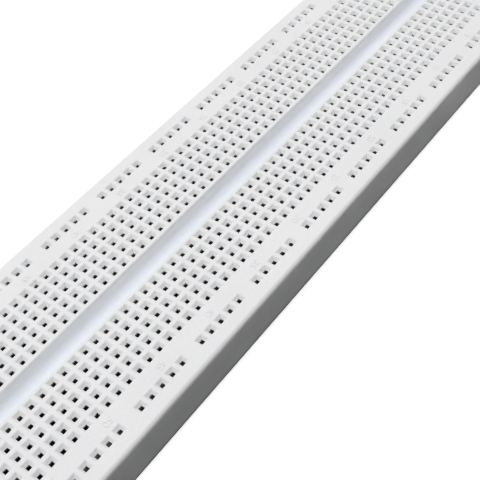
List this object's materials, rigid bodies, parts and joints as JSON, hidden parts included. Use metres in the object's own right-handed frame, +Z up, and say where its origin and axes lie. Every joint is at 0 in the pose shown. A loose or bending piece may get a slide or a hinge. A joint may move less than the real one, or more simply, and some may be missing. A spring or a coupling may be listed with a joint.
{
  "type": "solderless breadboard",
  "caption": "Flat white plug-in prototyping board with a grid of funnel-mouthed lead holes, a centre groove, two bus rows, sprung contact strips inside and a peel-off foam backing.",
  "frame": {"origin": "middle of the underside, in the plane that the board rests on", "axes": "+X along the numbered columns, from column 1 to column 60; +Y across the board, from row a to row j; +Z up, out of the hole face"},
  "size_m": [0.175, 0.046, 0.0085],
  "materials": {
    "housing_plastic": "moulded white plastic, satin",
    "contact_metal": "nickel-plated phosphor bronze sheet",
    "foam_tape": "grey double-sided adhesive foam",
    "liner_paper": "waxed kraft release paper"
  },
  "bodies": {
    "root": {"housing": "housing_plastic", "adhesive_foam_pad": "foam_tape", "release_liner": "liner_paper", "terminal_clips_a_e_01_05": "contact_metal", "terminal_clips_a_e_06_10": "contact_metal", "terminal_clips_a_e_11_15": "contact_metal", "terminal_clips_a_e_16_20": "contact_metal", "terminal_clips_a_e_21_25": "contact_metal", "terminal_clips_a_e_26_30": "contact_metal", "terminal_clips_a_e_31_35": "contact_metal", "terminal_clips_a_e_36_40": "contact_metal", "terminal_clips_a_e_41_45": "contact_metal", "terminal_clips_a_e_46_50": "contact_metal", "terminal_clips_a_e_51_55": "contact_metal", "terminal_clips_a_e_56_60": "contact_metal", "terminal_clips_f_j_01_05": "contact_metal", "terminal_clips_f_j_06_10": "contact_metal", "terminal_clips_f_j_11_15": "contact_metal", "terminal_clips_f_j_16_20": "contact_metal", "terminal_clips_f_j_21_25": "contact_metal", "terminal_clips_f_j_26_30": "contact_metal", "terminal_clips_f_j_31_35": "contact_metal", "terminal_clips_f_j_36_40": "contact_metal", "terminal_clips_f_j_41_45": "contact_metal", "terminal_clips_f_j_46_50": "contact_metal", "terminal_clips_f_j_51_55": "contact_metal", "terminal_clips_f_j_56_60": "contact_metal", "bus_strip_lower_left": "contact_metal", "bus_strip_lower_middle": "contact_metal", "bus_strip_lower_right": "contact_metal", "bus_strip_upper_left": "contact_metal", "bus_strip_upper_middle": "contact_metal", "bus_strip_upper_right": "contact_metal"}
  },
  "joints": []
}
